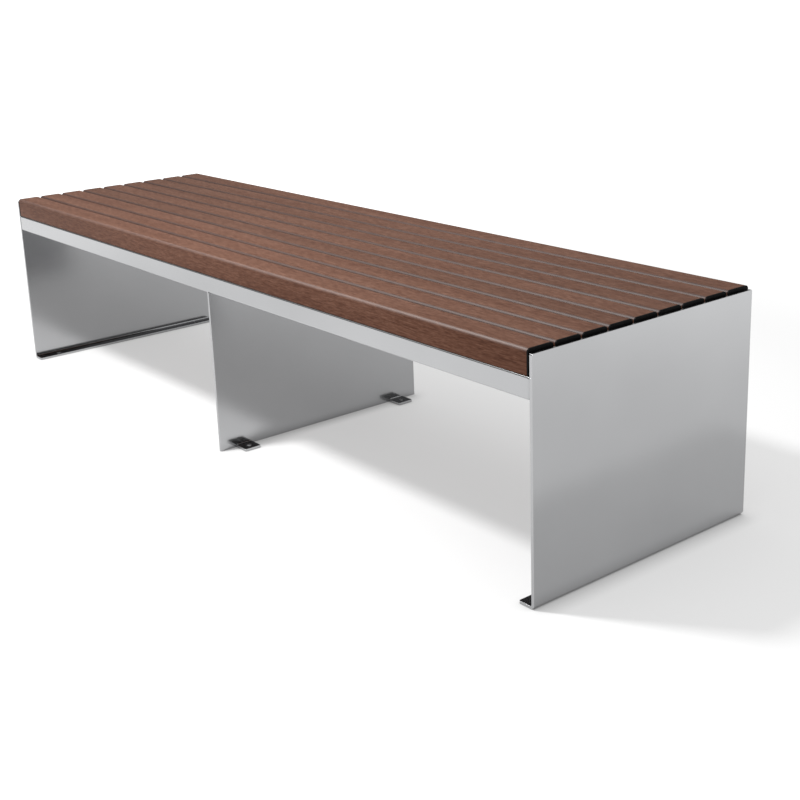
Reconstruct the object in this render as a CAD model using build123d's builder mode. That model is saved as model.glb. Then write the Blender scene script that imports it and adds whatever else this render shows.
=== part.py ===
from build123d import *

import os

# A backless bench: nine timber slats on a frame of folded stainless sheet.
# Millimetres. +X runs along the seat, -Y is the front, +Z is up, and the origin is on the floor
# below the middle of the seat.

# The whole bench
LENGTH = 2000  # over the outer faces of the two end panels
DEPTH = 560  # front edge to rear edge
PANEL_H = 446  # floor to the top edge of an end panel
SEAT_H = 453  # floor to the top of the slats, which stand proud of the panels
SHEET = 6  # sheet of the end panels, the middle leg and its tabs
EASE = 3  # small rounding on the corners of cut sheet

# Slats and their end caps
SLAT_COUNT = 9
SLAT_W = 58
SLAT_T = 46
SLAT_ROUND = 6.5  # long top edges
SLAT_EASE = 2  # long bottom edges
CAP_T = 3
END_GAP = 3  # open gap from a cap to the end panel
SPIGOT_R = 4
SPIGOT_L = 12
SPIGOT_SPREAD = 28

# Foot flanges, foot tabs and their anchor holes
FOOT = 36  # flange width, measured from the panel's outer face
BEND_OUT = 9  # outside radius of the foot bend
TAB = 40  # side of a square foot tab
ANCHOR_R = 6
ANCHOR_Y = 220  # holes in front of and behind the middle
ANCHOR_INSET = 22  # outer face of the panel to the flange hole
TAB_HOLE = 23  # face of the middle leg to the tab hole

# Aprons: folded pans that carry the outer slats
APRON_H = 40
APRON_D = 30
APRON_SHEET = 3
APRON_CORNER = 5  # radius of the pan's corners, seen from the front
APRON_BEND = 4  # outside radius of the folds

# Ledges, tie strips and clips under the slats
LEDGE_W = 40
LEDGE_H = 35
LEDGE_T = 4
LEDGE_BEND = 5
TIE_W = 40
TIE_T = 5
TIE_X = 485
SUPPORT_L = 492  # ledges and ties, fitting between the two aprons
SCREW_INSET = 24  # back face of a ledge to its row of slat screws
OUTER_SCREW_Y = 234  # the outer slats are only half over the supports
CLIP_L = 62
CLIP_W = 25
CLIP_H = 30

# Fasteners
M8_R = 4
M8_CLEAR_R = 4.5
M6_R = 3
M6_CLEAR_R = 3.5
STUD_L = 22
BOLT_YS = (-180, 0, 180)
APRON_STUD_Y = 262
CLIP_BOLT_Y = 232
CLIP_SCREW_Y = 264
SCREW_R = 2.5
SCREW_BITE = 30  # length of a slat screw inside the slat
SCREW_CLEAR_R = 3.25
THREAD_GAP = 0.05  # keeps a shank and its nut or pilot hole from sharing one surface

# Worked out from the above
INNER = LENGTH / 2 - SHEET  # inner face of an end panel
SLAT_END = INNER - END_GAP - CAP_T
SLAT_BASE = SEAT_H - SLAT_T  # underside of the slats, top of everything that carries them
SLAT_PITCH = (DEPTH - SLAT_W) / (SLAT_COUNT - 1)
APRON_BASE = SLAT_BASE - APRON_H
BOLT_Z = SLAT_BASE - APRON_H / 2
LEG_FACE = SHEET / 2
CLIP_X = LEG_FACE + CLIP_W / 2 + 0.5
CLIP_BASE = APRON_BASE + APRON_SHEET


def slat_y(number):
    """Middle of a slat, counted from 1 at the front."""
    return -(DEPTH - SLAT_W) / 2 + (number - 1) * SLAT_PITCH


def screw_y(number):
    """Row position of a slat's screws: its middle, but further in on the two outer slats."""
    return max(-OUTER_SCREW_Y, min(OUTER_SCREW_Y, slat_y(number)))


SCREW_YS = [screw_y(n) for n in range(1, SLAT_COUNT + 1)]
# Rows of slat screws: name, place along the bench, thickness of the metal they pass through
SCREW_ROWS = (
    ("left_end", -(INNER - SCREW_INSET), LEDGE_T),
    ("left_tie", -TIE_X, TIE_T),
    ("centre", -(LEG_FACE + SCREW_INSET), LEDGE_T),
    ("right_tie", TIE_X, TIE_T),
    ("right_end", INNER - SCREW_INSET, LEDGE_T),
)


# ---------------------------------------------------------------- end panels
def end_panel(name, side):
    """Folded sheet: an upright side with a foot flange turned in along its bottom edge."""
    outer, inner, tip = side * LENGTH / 2, side * INNER, side * (LENGTH / 2 - FOOT)
    with BuildPart() as panel:
        with BuildSketch(Plane.XZ) as profile:
            with BuildLine():
                Polyline(
                    (outer, PANEL_H), (outer, 0), (tip, 0),
                    (tip, SHEET), (inner, SHEET), (inner, PANEL_H), close=True,
                )
            make_face()
            fillet(profile.vertices().sort_by_distance((outer, 0))[0], BEND_OUT)
            fillet(profile.vertices().sort_by_distance((inner, SHEET))[0], BEND_OUT - SHEET)
        extrude(amount=DEPTH / 2, both=True)
        fillet(panel.edges().filter_by(Axis.X).group_by(Axis.Z)[-1], EASE)
        fillet(panel.edges().filter_by(Axis.Z).sort_by_distance((tip, 0, 0))[:2], EASE)
        with Locations(*[(side * (LENGTH / 2 - ANCHOR_INSET), y, SHEET) for y in (-ANCHOR_Y, ANCHOR_Y)]):
            Hole(ANCHOR_R, depth=SHEET)
    panel.part.label = name
    export_step(panel.part, f"parts/{name}.step")


# ---------------------------------------------------------------- aprons
def apron(name, side):
    """Shallow folded pan, open towards the inside, with a stud hole in each end return."""
    outer_y = side * DEPTH / 2
    with BuildPart() as pan:
        with Locations((0, outer_y - side * APRON_D / 2, BOLT_Z)):
            Box(2 * INNER, APRON_D, APRON_H)
        fillet(pan.edges().filter_by(Axis.Y), APRON_CORNER)
        fillet(pan.faces().sort_by(Axis.Y)[-1 if side > 0 else 0].edges(), APRON_BEND)
        back = pan.faces().sort_by(Axis.Y)[0 if side > 0 else -1]
        offset(amount=-APRON_SHEET, openings=back)
        with BuildSketch(Plane.YZ):
            with Locations((side * APRON_STUD_Y, BOLT_Z)):
                Circle(M8_CLEAR_R)
        extrude(amount=INNER, both=True, mode=Mode.SUBTRACT)
        with Locations((CLIP_X, side * CLIP_SCREW_Y, CLIP_BASE)):
            Hole(M6_CLEAR_R, depth=APRON_SHEET)
    pan.part.label = name
    export_step(pan.part, f"parts/{name}.step")


# ---------------------------------------------------------------- middle leg and its foot tabs
def middle_leg():
    """Flat sheet across the bench, with shoulders that the two aprons sit on."""
    with BuildPart() as leg:
        with BuildSketch(Plane.YZ) as outline:
            with Locations((0, APRON_BASE / 2)):
                Rectangle(DEPTH, APRON_BASE)
            with Locations((0, SLAT_BASE / 2 - EASE / 2)):
                Rectangle(SUPPORT_L, SLAT_BASE - EASE)
            for y in (-SUPPORT_L / 2, SUPPORT_L / 2):
                fillet(outline.vertices().sort_by_distance((y, APRON_BASE))[0], EASE)
        extrude(amount=SHEET / 2, both=True)
        with BuildSketch(Plane.YZ):
            with Locations(*[(y, BOLT_Z) for y in BOLT_YS]):
                Circle(M8_CLEAR_R)
            with Locations((-CLIP_BOLT_Y, BOLT_Z), (CLIP_BOLT_Y, BOLT_Z)):
                Circle(M6_CLEAR_R)
        extrude(amount=SHEET, both=True, mode=Mode.SUBTRACT)
    leg.part.label = "middle_leg"
    export_step(leg.part, "parts/middle_leg.step")


def foot_tab(name, side):
    """Square tab welded to the foot of the middle leg, with one anchor hole."""
    with BuildPart() as tab:
        with Locations((LEG_FACE + TAB / 2, side * ANCHOR_Y, SHEET / 2)):
            Box(TAB, TAB, SHEET)
        fillet(tab.edges().filter_by(Axis.Z).group_by(Axis.X)[-1], EASE)
        with Locations((LEG_FACE + TAB_HOLE, side * ANCHOR_Y, SHEET)):
            Hole(ANCHOR_R, depth=SHEET)
    tab.part.label = name
    export_step(tab.part, f"parts/{name}.step")


# ---------------------------------------------------------------- slats and end caps
def slat_section(y):
    """The slat's section, drawn in the open sketch: rounded top edges, eased bottom edges."""
    with BuildSketch(mode=Mode.PRIVATE) as section:
        with Locations((y, SEAT_H - SLAT_T / 2)):
            Rectangle(SLAT_W, SLAT_T)
        fillet(section.vertices().group_by(Axis.Y)[-1], SLAT_ROUND)
        fillet(section.vertices().group_by(Axis.Y)[0], SLAT_EASE)
    add(section.sketch)


def spigot_places(y):
    """Middles of the two spigots of a slat's end cap."""
    return [(y + dy, SEAT_H - SLAT_T / 2) for dy in (-SPIGOT_SPREAD / 2, SPIGOT_SPREAD / 2)]


def slat(number):
    """Solid timber slat with five pilot holes below and two spigot holes in each end."""
    y = slat_y(number)
    with BuildPart() as board:
        with BuildSketch(Plane.YZ):
            slat_section(y)
        extrude(amount=SLAT_END, both=True)
        for end in (-1, 1):
            with BuildSketch(Plane.YZ.offset(end * SLAT_END)):
                with Locations(*spigot_places(y)):
                    Circle(SPIGOT_R + THREAD_GAP)
            extrude(amount=-end * (SPIGOT_L + 1), mode=Mode.SUBTRACT)
        with BuildSketch(Plane.XY.offset(SLAT_BASE)):
            with Locations(*[(x, screw_y(number)) for _, x, _ in SCREW_ROWS]):
                Circle(SCREW_R + THREAD_GAP)
        extrude(amount=SCREW_BITE + 1, mode=Mode.SUBTRACT)
    board.part.label = f"slat_{number}"
    export_step(board.part, f"parts/slat_{number}.step")


def end_cap(name, number, side):
    """Moulded cap on the end of a slat, held by two spigots."""
    y = slat_y(number)
    with BuildPart() as cap:
        with BuildSketch(Plane.YZ.offset(side * SLAT_END)):
            slat_section(y)
        extrude(amount=side * CAP_T)
        rim = cap.faces().sort_by(Axis.X)[-1 if side > 0 else 0].edges()
        fillet(rim, CAP_T / 4)
        with BuildSketch(Plane.YZ.offset(side * SLAT_END)):
            with Locations(*spigot_places(y)):
                Circle(SPIGOT_R)
        extrude(amount=-side * SPIGOT_L)
    cap.part.label = name
    export_step(cap.part, f"parts/{name}.step")


# ---------------------------------------------------------------- supports under the slats
def ledge(name, back, side, clip_holes):
    """Folded angle under the slats. back is its upright's back face, side the way it stands out."""
    tip, base = back + side * LEDGE_W, SLAT_BASE - LEDGE_H
    with BuildPart() as angle:
        with BuildSketch(Plane.XZ) as profile:
            with BuildLine():
                Polyline(
                    (back, SLAT_BASE), (tip, SLAT_BASE), (tip, SLAT_BASE - LEDGE_T),
                    (back + side * LEDGE_T, SLAT_BASE - LEDGE_T), (back + side * LEDGE_T, base),
                    (back, base), close=True,
                )
            make_face()
            inside = (back + side * LEDGE_T, SLAT_BASE - LEDGE_T)
            fillet(profile.vertices().sort_by_distance((back, SLAT_BASE))[0], LEDGE_BEND)
            fillet(profile.vertices().sort_by_distance(inside)[0], LEDGE_BEND - LEDGE_T)
        extrude(amount=SUPPORT_L / 2, both=True)
        with Locations(*[(back + side * SCREW_INSET, y, SLAT_BASE) for y in SCREW_YS]):
            Hole(SCREW_CLEAR_R, depth=LEDGE_T)
        with BuildSketch(Plane.YZ.offset(back)):
            with Locations(*[(y, BOLT_Z) for y in BOLT_YS]):
                Circle(M8_CLEAR_R)
            if clip_holes:
                with Locations((-CLIP_BOLT_Y, BOLT_Z), (CLIP_BOLT_Y, BOLT_Z)):
                    Circle(M6_CLEAR_R)
        extrude(amount=side * LEDGE_T, mode=Mode.SUBTRACT)
    angle.part.label = name
    export_step(angle.part, f"parts/{name}.step")


def tie_strip(name, x):
    """Flat bar across the undersides of the slats, half way between two supports."""
    with BuildPart() as bar:
        with Locations((x, 0, SLAT_BASE - TIE_T / 2)):
            Box(TIE_W, SUPPORT_L, TIE_T)
        fillet(bar.edges().filter_by(Axis.Z), EASE)
        with Locations(*[(x, y, SLAT_BASE) for y in SCREW_YS]):
            Hole(SCREW_CLEAR_R, depth=TIE_T)
    bar.part.label = name
    export_step(bar.part, f"parts/{name}.step")


def apron_clip(name, side):
    """Small angle that ties an apron's bottom flange to the middle leg."""
    outer_y = side * (DEPTH / 2 - APRON_SHEET - 1)
    with BuildPart() as clip:
        with BuildSketch(Plane.XZ.offset(-outer_y)) as profile:
            with Locations((LEG_FACE, CLIP_BASE)):
                Rectangle(CLIP_W, APRON_SHEET, align=(Align.MIN, Align.MIN))
                Rectangle(APRON_SHEET, CLIP_H, align=(Align.MIN, Align.MIN))
            fillet(profile.vertices().sort_by_distance((LEG_FACE, CLIP_BASE))[0], APRON_BEND)
        extrude(amount=side * CLIP_L)
        with Locations((CLIP_X, side * CLIP_SCREW_Y, CLIP_BASE + APRON_SHEET)):
            Hole(M6_CLEAR_R, depth=APRON_SHEET)
        with BuildSketch(Plane.YZ.offset(LEG_FACE)):
            with Locations((side * CLIP_BOLT_Y, BOLT_Z)):
                Circle(M6_CLEAR_R)
        extrude(amount=APRON_SHEET, mode=Mode.SUBTRACT)
    clip.part.label = name
    export_step(clip.part, f"parts/{name}.step")


# ---------------------------------------------------------------- fasteners
def panel_studs(name, side):
    """Five studs welded to an end panel's inner face: three for the ledge, one for each apron."""
    places = [(y, BOLT_Z) for y in (-APRON_STUD_Y, *BOLT_YS, APRON_STUD_Y)]
    with BuildPart() as studs:
        with BuildSketch(Plane.YZ.offset(side * INNER)):
            with Locations(*places):
                Circle(M8_R)
        extrude(amount=-side * STUD_L)
        tips = studs.faces().group_by(Axis.X)[0 if side > 0 else -1]
        chamfer(tips.edges(), 1)
    studs.part.label = name
    export_step(studs.part, f"parts/{name}.step")


def flange_nuts(name, seats, shank_r):
    """Hexagon nuts with a flange. A seat is a plane on the clamped face, its z axis outwards."""
    flats, height, flange_t = shank_r * 3.25, shank_r * 2, shank_r * 0.4
    with BuildPart() as nuts:
        for seat in seats:
            with BuildSketch(seat):
                Circle(shank_r * 2.2)
            extrude(amount=flange_t)
            with BuildSketch(seat.offset(flange_t)):
                RegularPolygon(flats / 2, 6, major_radius=False)
            extrude(amount=height - flange_t)
            with BuildSketch(seat):
                Circle(shank_r + THREAD_GAP)
            extrude(amount=height, mode=Mode.SUBTRACT)
    nuts.part.label = name
    export_step(nuts.part, f"parts/{name}.step")


def hex_bolts(name, seats, shank_r, length):
    """Hexagon bolts. A seat is a plane under the head, its z axis towards the head."""
    with BuildPart() as bolts:
        for seat in seats:
            with BuildSketch(seat):
                RegularPolygon(shank_r * 3.25 / 2, 6, major_radius=False)
            extrude(amount=shank_r * 1.3)
            with BuildSketch(seat):
                Circle(shank_r)
            extrude(amount=-length)
    bolts.part.label = name
    export_step(bolts.part, f"parts/{name}.step")


def clip_screws():
    """Two button-head screws, up through the bottom flange of each apron into its clip."""
    head_r, head_h, length = 5.2, 3.3, 16
    with BuildPart() as screws:
        for side in (-1, 1):
            seat = Plane(origin=(CLIP_X, side * CLIP_SCREW_Y, APRON_BASE), z_dir=(0, 0, -1))
            with BuildSketch(seat):
                Circle(head_r)
            extrude(amount=head_h)
            with BuildSketch(seat):
                Circle(M6_R)
            extrude(amount=-length)
        fillet(screws.faces().group_by(Axis.Z)[0].edges(), head_h * 0.7)
        with BuildSketch(Plane.XY.offset(APRON_BASE - head_h)):
            with Locations((CLIP_X, -CLIP_SCREW_Y), (CLIP_X, CLIP_SCREW_Y)):
                RegularPolygon(2, 6, major_radius=False)
        extrude(amount=2, mode=Mode.SUBTRACT)
    screws.part.label = "clip_screws"
    export_step(screws.part, "parts/clip_screws.step")


def slat_screws(row, x, metal_t):
    """A row of nine pan-head screws, up through a ledge or tie strip into the slats."""
    head_r, head_h = 5.5, 2.6
    seat = Plane.XY.offset(SLAT_BASE - metal_t)
    with BuildPart() as screws:
        with BuildSketch(seat):
            with Locations(*[(x, y) for y in SCREW_YS]):
                Circle(head_r)
        extrude(amount=-head_h)
        fillet(screws.faces().group_by(Axis.Z)[0].edges(), 1)
        with BuildSketch(seat):
            with Locations(*[(x, y) for y in SCREW_YS]):
                Circle(SCREW_R)
        extrude(amount=metal_t + SCREW_BITE)
    screws.part.label = f"slat_screws_{row}"
    export_step(screws.part, f"parts/slat_screws_{row}.step")


# ---------------------------------------------------------------- build every piece
os.makedirs("parts", exist_ok=True)

for hand, side in (("left", -1), ("right", 1)):
    end_panel(f"end_panel_{hand}", side)
    ledge(f"end_ledge_{hand}", side * INNER, -side, clip_holes=False)
    tie_strip(f"tie_strip_{hand}", side * TIE_X)
    panel_studs(f"panel_studs_{hand}", side)
    returns = [(y, APRON_SHEET) for y in (-APRON_STUD_Y, APRON_STUD_Y)]
    faces = returns + [(y, LEDGE_T) for y in BOLT_YS]
    seats = [
        Plane(origin=(side * (INNER - metal), y, BOLT_Z), z_dir=(-side, 0, 0)) for y, metal in faces
    ]
    flange_nuts(f"stud_nuts_{hand}", seats, M8_R)
    for number in range(1, SLAT_COUNT + 1):
        end_cap(f"end_cap_{hand}_{number}", number, side)

middle_leg()
ledge("centre_ledge", -LEG_FACE, -1, clip_holes=True)
for place, side in (("front", -1), ("rear", 1)):
    apron(f"apron_{place}", side)
    foot_tab(f"foot_tab_{place}", side)
    apron_clip(f"apron_clip_{place}", side)

for number in range(1, SLAT_COUNT + 1):
    slat(number)
for row, x, metal_t in SCREW_ROWS:
    slat_screws(row, x, metal_t)

# Bolts through the middle leg: heads on its right face, nuts on the centre ledge
leg_heads = [Plane(origin=(LEG_FACE, y, BOLT_Z), z_dir=(1, 0, 0)) for y in BOLT_YS]
hex_bolts("leg_bolts", leg_heads, M8_R, 20)
ledge_face = -(LEG_FACE + LEDGE_T)
flange_nuts(
    "leg_nuts", [Plane(origin=(ledge_face, y, BOLT_Z), z_dir=(-1, 0, 0)) for y in BOLT_YS], M8_R
)

# Bolts through centre ledge, leg and clip, with nuts on the clips, and the screws into the clips
clip_ys = (-CLIP_BOLT_Y, CLIP_BOLT_Y)
clip_heads = [Plane(origin=(ledge_face, y, BOLT_Z), z_dir=(-1, 0, 0)) for y in clip_ys]
hex_bolts("clip_bolts", clip_heads, M6_R, 20)
clip_screws()
clip_seats = [
    Plane(origin=(LEG_FACE + APRON_SHEET, y, BOLT_Z), z_dir=(1, 0, 0)) for y in clip_ys
] + [
    Plane(origin=(CLIP_X, y, CLIP_BASE + APRON_SHEET), z_dir=(0, 0, 1))
    for y in (-CLIP_SCREW_Y, CLIP_SCREW_Y)
]
flange_nuts("clip_nuts", clip_seats, M6_R)
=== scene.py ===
import math

import bmesh
import bpy
import mathutils
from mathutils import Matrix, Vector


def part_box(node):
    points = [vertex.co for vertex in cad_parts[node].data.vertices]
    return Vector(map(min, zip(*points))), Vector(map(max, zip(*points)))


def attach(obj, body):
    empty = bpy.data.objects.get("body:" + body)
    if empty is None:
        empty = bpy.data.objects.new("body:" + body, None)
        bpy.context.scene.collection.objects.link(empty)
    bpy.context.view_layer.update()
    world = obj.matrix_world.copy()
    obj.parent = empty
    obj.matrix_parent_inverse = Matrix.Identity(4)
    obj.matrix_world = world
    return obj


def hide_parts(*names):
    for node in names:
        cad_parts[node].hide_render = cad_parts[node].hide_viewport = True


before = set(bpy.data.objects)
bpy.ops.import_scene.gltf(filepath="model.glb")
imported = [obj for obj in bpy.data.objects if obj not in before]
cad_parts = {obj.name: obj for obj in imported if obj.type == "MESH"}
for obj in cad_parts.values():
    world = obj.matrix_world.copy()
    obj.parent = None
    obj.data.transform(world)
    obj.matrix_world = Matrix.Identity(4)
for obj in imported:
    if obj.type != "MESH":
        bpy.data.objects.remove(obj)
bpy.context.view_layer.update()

# ---------------------------------------------------------------- end panels
# Each end of the bench is one 6 mm stainless sheet with its foot folded inwards. The flange has two
# anchor holes, the cut edges are eased, and the faces are ground to an even satin.
SHEET = 0.006
FOOT_BEND = 0.009
CORNER_EASE = 0.003
CUT_EDGE = 0.0005
ANCHOR_R = 0.006
ANCHOR_Y = 0.22
ANCHOR_INSET = 0.022


def put_down():
    """Closes any piece that is open for editing and deselects everything."""
    if bpy.context.object and bpy.context.object.mode == "EDIT":
        bpy.ops.object.mode_set(mode="OBJECT")
    bpy.ops.object.select_all(action="DESELECT")


def take_up(piece):
    """Makes a piece the only selected one."""
    put_down()
    piece.select_set(True)
    bpy.context.view_layer.objects.active = piece


def blank(name, low, high):
    """A block of stock between two corners, with its place in its mesh."""
    put_down()
    middle = [(a + b) / 2 for a, b in zip(low, high)]
    size = [b - a for a, b in zip(low, high)]
    bpy.ops.mesh.primitive_cube_add(size=1, location=middle, scale=size)
    piece = bpy.context.object
    piece.name = name
    bpy.ops.object.transform_apply(location=True, rotation=True, scale=True)
    return piece


def choose(piece, kind, test):
    """Opens a piece for editing and selects the corners, edges or faces that pass a test."""
    if piece.mode != "EDIT":
        take_up(piece)
        bpy.ops.object.mode_set(mode="EDIT")
    bpy.ops.mesh.select_mode(type=kind)
    bpy.ops.mesh.select_all(action="DESELECT")
    shape = bmesh.from_edit_mesh(piece.data)
    shape.normal_update()
    parts = {"VERT": shape.verts, "EDGE": shape.edges, "FACE": shape.faces}[kind]
    for part in parts:
        part.select_set(bool(test(part)))
    shape.select_flush_mode()
    bmesh.update_edit_mesh(piece.data)


def on(value, wanted, slack=1e-5):
    """True where a length is the wanted one."""
    return abs(value - wanted) < slack


def along(edge, axis):
    """True for an edge that runs along one axis, 0, 1 or 2."""
    run = edge.verts[1].co - edge.verts[0].co
    return abs(run[axis]) > 0.999 * run.length


def middle_of(part):
    """Middle of an edge or a face."""
    if isinstance(part, bmesh.types.BMFace):
        return part.calc_center_median()
    return (part.verts[0].co + part.verts[1].co) / 2


def round_over(radius, steps):
    """Rounds the selected edges."""
    bpy.ops.mesh.bevel(offset=radius, offset_type="OFFSET", segments=steps, affect="EDGES")


def pull_out(x, y, z):
    """Draws the selected faces out by a distance."""
    bpy.ops.mesh.extrude_region_move(TRANSFORM_OT_translate={"value": (x, y, z)})


def merge_flats():
    """Takes out the lines across flat faces."""
    bpy.ops.mesh.select_all(action="SELECT")
    bpy.ops.mesh.dissolve_limited(angle_limit=0.01)


def work(piece, kind, **settings):
    """Adds one modifier and applies it."""
    take_up(piece)
    change = piece.modifiers.new(kind.lower(), kind)
    for name, value in settings.items():
        setattr(change, name, value)
    bpy.ops.object.modifier_apply(modifier=change.name)


def pin(place, axis, radius, length, sides=40):
    """A round pin centred on a place, along X, Y or Z."""
    put_down()
    turn = {"X": (0, math.pi / 2, 0), "Y": (math.pi / 2, 0, 0), "Z": (0, 0, 0)}[axis]
    bpy.ops.mesh.primitive_cylinder_add(
        vertices=sides, radius=radius, depth=length, location=place, rotation=turn
    )
    bpy.ops.object.transform_apply(location=True, rotation=True, scale=True)
    return bpy.context.object


def as_one(name, pieces):
    """Joins several pieces into one."""
    put_down()
    for piece in pieces:
        piece.select_set(True)
    bpy.context.view_layer.objects.active = pieces[0]
    if len(pieces) > 1:
        bpy.ops.object.join()
    pieces[0].name = name
    return pieces[0]


def drill(piece, places, axis, radius, length):
    """Drills round holes through a piece, all along one axis."""
    drills = as_one("drills", [pin(place, axis, radius, length) for place in places])
    work(piece, "BOOLEAN", operation="DIFFERENCE", solver="EXACT", object=drills)
    bpy.data.objects.remove(drills)


def ease_edges(piece, width, steps=2):
    """Takes the sharpness off every edge and keeps the flat faces flat to the light."""
    work(
        piece, "BEVEL", width=width, segments=steps,
        limit_method="ANGLE", angle_limit=math.radians(40),
    )
    bpy.ops.object.shade_smooth_by_angle(angle=math.radians(50))
    work(piece, "WEIGHTED_NORMAL", mode="FACE_AREA", weight=50, keep_sharp=True)


def copy_at(piece, name, move=(0, 0, 0), turn=(0, 0, 0)):
    """A copy with its own mesh, turned about the origin and then moved."""
    take_up(piece)
    bpy.ops.object.duplicate()
    copy = bpy.context.object
    copy.name = name
    copy.rotation_euler = turn
    copy.location = move
    bpy.ops.object.transform_apply(location=True, rotation=True, scale=True)
    return copy


HALF_TURN = (0, 0, math.pi)

low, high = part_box("end_panel_right")
inner = high.x - SHEET
panel = blank("end_panel_right_sheet", (inner, low.y, low.z), high)
choose(panel, "FACE", lambda face: True)
bpy.ops.mesh.bisect(plane_co=(inner, 0, SHEET), plane_no=(0, 0, 1))
choose(panel, "FACE", lambda face: face.normal.x < -0.9 and middle_of(face).z < SHEET)
pull_out(low.x - inner, 0, 0)
merge_flats()
choose(
    panel, "EDGE",
    lambda edge: along(edge, 1) and on(middle_of(edge).x, high.x) and on(middle_of(edge).z, 0),
)
round_over(FOOT_BEND, 10)
choose(
    panel, "EDGE",
    lambda edge: along(edge, 1) and on(middle_of(edge).x, inner) and on(middle_of(edge).z, SHEET),
)
round_over(FOOT_BEND - SHEET, 6)
choose(
    panel, "EDGE",
    lambda edge: along(edge, 0) and on(middle_of(edge).z, high.z)
    or along(edge, 2) and on(middle_of(edge).x, low.x),
)
round_over(CORNER_EASE, 5)
holes = [(high.x - ANCHOR_INSET, y, SHEET / 2) for y in (-ANCHOR_Y, ANCHOR_Y)]
drill(panel, holes, "Z", ANCHOR_R, 5 * SHEET)
ease_edges(panel, CUT_EDGE)
panels = {"right": panel, "left": copy_at(panel, "end_panel_left_sheet", turn=HALF_TURN)}


def node(tree, kind, feeds=None, **settings):
    """Adds one shader node. Feeds are its inputs, each a value or the output that it comes from."""
    made = tree.nodes.new("ShaderNode" + kind)
    for name, value in settings.items():
        setattr(made, name, value)
    for name, value in (feeds or {}).items():
        if isinstance(value, bpy.types.NodeSocket):
            tree.links.new(value, made.inputs[name])
        else:
            made.inputs[name].default_value = value
    return made


def ramp(tree, fac, *stops):
    """A colour ramp. A stop is a position and a grey or a colour."""
    made = node(tree, "ValToRGB", {"Fac": fac})
    while len(made.color_ramp.elements) < len(stops):
        made.color_ramp.elements.new(0.5)
    for element, (position, shade) in zip(made.color_ramp.elements, stops):
        element.position = position
        element.color = (*shade, 1) if isinstance(shade, tuple) else (shade, shade, shade, 1)
    return made.outputs["Color"]


def blend(tree, mode, fac, a, b):
    """Mixes two colours."""
    made = node(tree, "Mix", {0: fac, 6: a, 7: b}, data_type="RGBA", blend_type=mode)
    return made.outputs[2]


def sums(tree, operation, *values):
    """One step of arithmetic."""
    made = node(tree, "Math", dict(enumerate(values)), operation=operation)
    return made.outputs[0]


def socket(group, name, way, kind="NodeSocketFloat"):
    """Adds one named input or output to a node group."""
    group.interface.new_socket(name, in_out=way, socket_type=kind)


def placed(tree, group, **values):
    """Places a node group in a material with its own values."""
    made = tree.nodes.new("ShaderNodeGroup")
    made.node_tree = group
    for name, value in values.items():
        if isinstance(value, bpy.types.NodeSocket):
            tree.links.new(value, made.inputs[name])
        else:
            made.inputs[name].default_value = value
    return made.outputs[0]


# Noise that is stretched along one way of a piece: grain, rolling lines, handling marks
stretched = bpy.data.node_groups.new("stretched_grain", "ShaderNodeTree")
socket(stretched, "Vector", "INPUT", "NodeSocketVector")
socket(stretched, "Stretch", "INPUT", "NodeSocketVector")
socket(stretched, "Scale", "INPUT")
socket(stretched, "Detail", "INPUT")
socket(stretched, "Roughness", "INPUT")
socket(stretched, "Amount", "OUTPUT")
asked = stretched.nodes.new("NodeGroupInput")
given = stretched.nodes.new("NodeGroupOutput")
drawn = node(
    stretched, "VectorMath", {0: asked.outputs["Vector"], 1: asked.outputs["Stretch"]},
    operation="MULTIPLY",
)
speckle = node(
    stretched, "TexNoise",
    {
        "Vector": drawn.outputs[0],
        "Scale": asked.outputs["Scale"],
        "Detail": asked.outputs["Detail"],
        "Roughness": asked.outputs["Roughness"],
    },
)
stretched.links.new(speckle.outputs["Fac"], given.inputs["Amount"])


def grain(tree, coordinates, stretch, scale, detail=3.0, rough=0.5):
    """Places the stretched-grain group in a material."""
    return placed(
        tree, stretched,
        Vector=coordinates, Stretch=stretch, Scale=scale, Detail=detail, Roughness=rough,
    )


# Bright, rubbed edges: how far the rounded-over normal leaves the face's own
edge_wear = bpy.data.node_groups.new("rubbed_edges", "ShaderNodeTree")
socket(edge_wear, "Width", "INPUT")
socket(edge_wear, "Breakup", "INPUT")
socket(edge_wear, "Mask", "OUTPUT")
asked = edge_wear.nodes.new("NodeGroupInput")
given = edge_wear.nodes.new("NodeGroupOutput")
rounded = node(edge_wear, "Bevel", {"Radius": asked.outputs["Width"]}, samples=4)
true_face = node(edge_wear, "NewGeometry")
lean = node(
    edge_wear, "VectorMath", {0: rounded.outputs[0], 1: true_face.outputs["Normal"]},
    operation="DOT_PRODUCT",
)
drift = sums(edge_wear, "SUBTRACT", 1.0, lean.outputs["Value"])
drift = sums(edge_wear, "MULTIPLY", drift, 6.0)
where = node(edge_wear, "TexCoord")
patches = node(edge_wear, "TexNoise", {"Vector": where.outputs["Object"], "Scale": 90.0, "Detail": 4.0})
patches = sums(edge_wear, "MULTIPLY_ADD", patches.outputs["Fac"], asked.outputs["Breakup"], 0.5)
worn = node(edge_wear, "Math", {0: drift, 1: patches}, operation="MULTIPLY", use_clamp=True)
edge_wear.links.new(worn.outputs[0], given.inputs["Mask"])


def rubbed(tree, width, breakup):
    """Places the rubbed-edge group in a material."""
    return placed(tree, edge_wear, Width=width, Breakup=breakup)


def new_material(name):
    """An empty material with its shader and its Object coordinates."""
    made = bpy.data.materials.new(name)
    made.use_nodes = True
    tree = made.node_tree
    shader = tree.nodes["Principled BSDF"]
    coordinates = node(tree, "TexCoord").outputs["Object"]
    return made, tree, shader, coordinates


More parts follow.
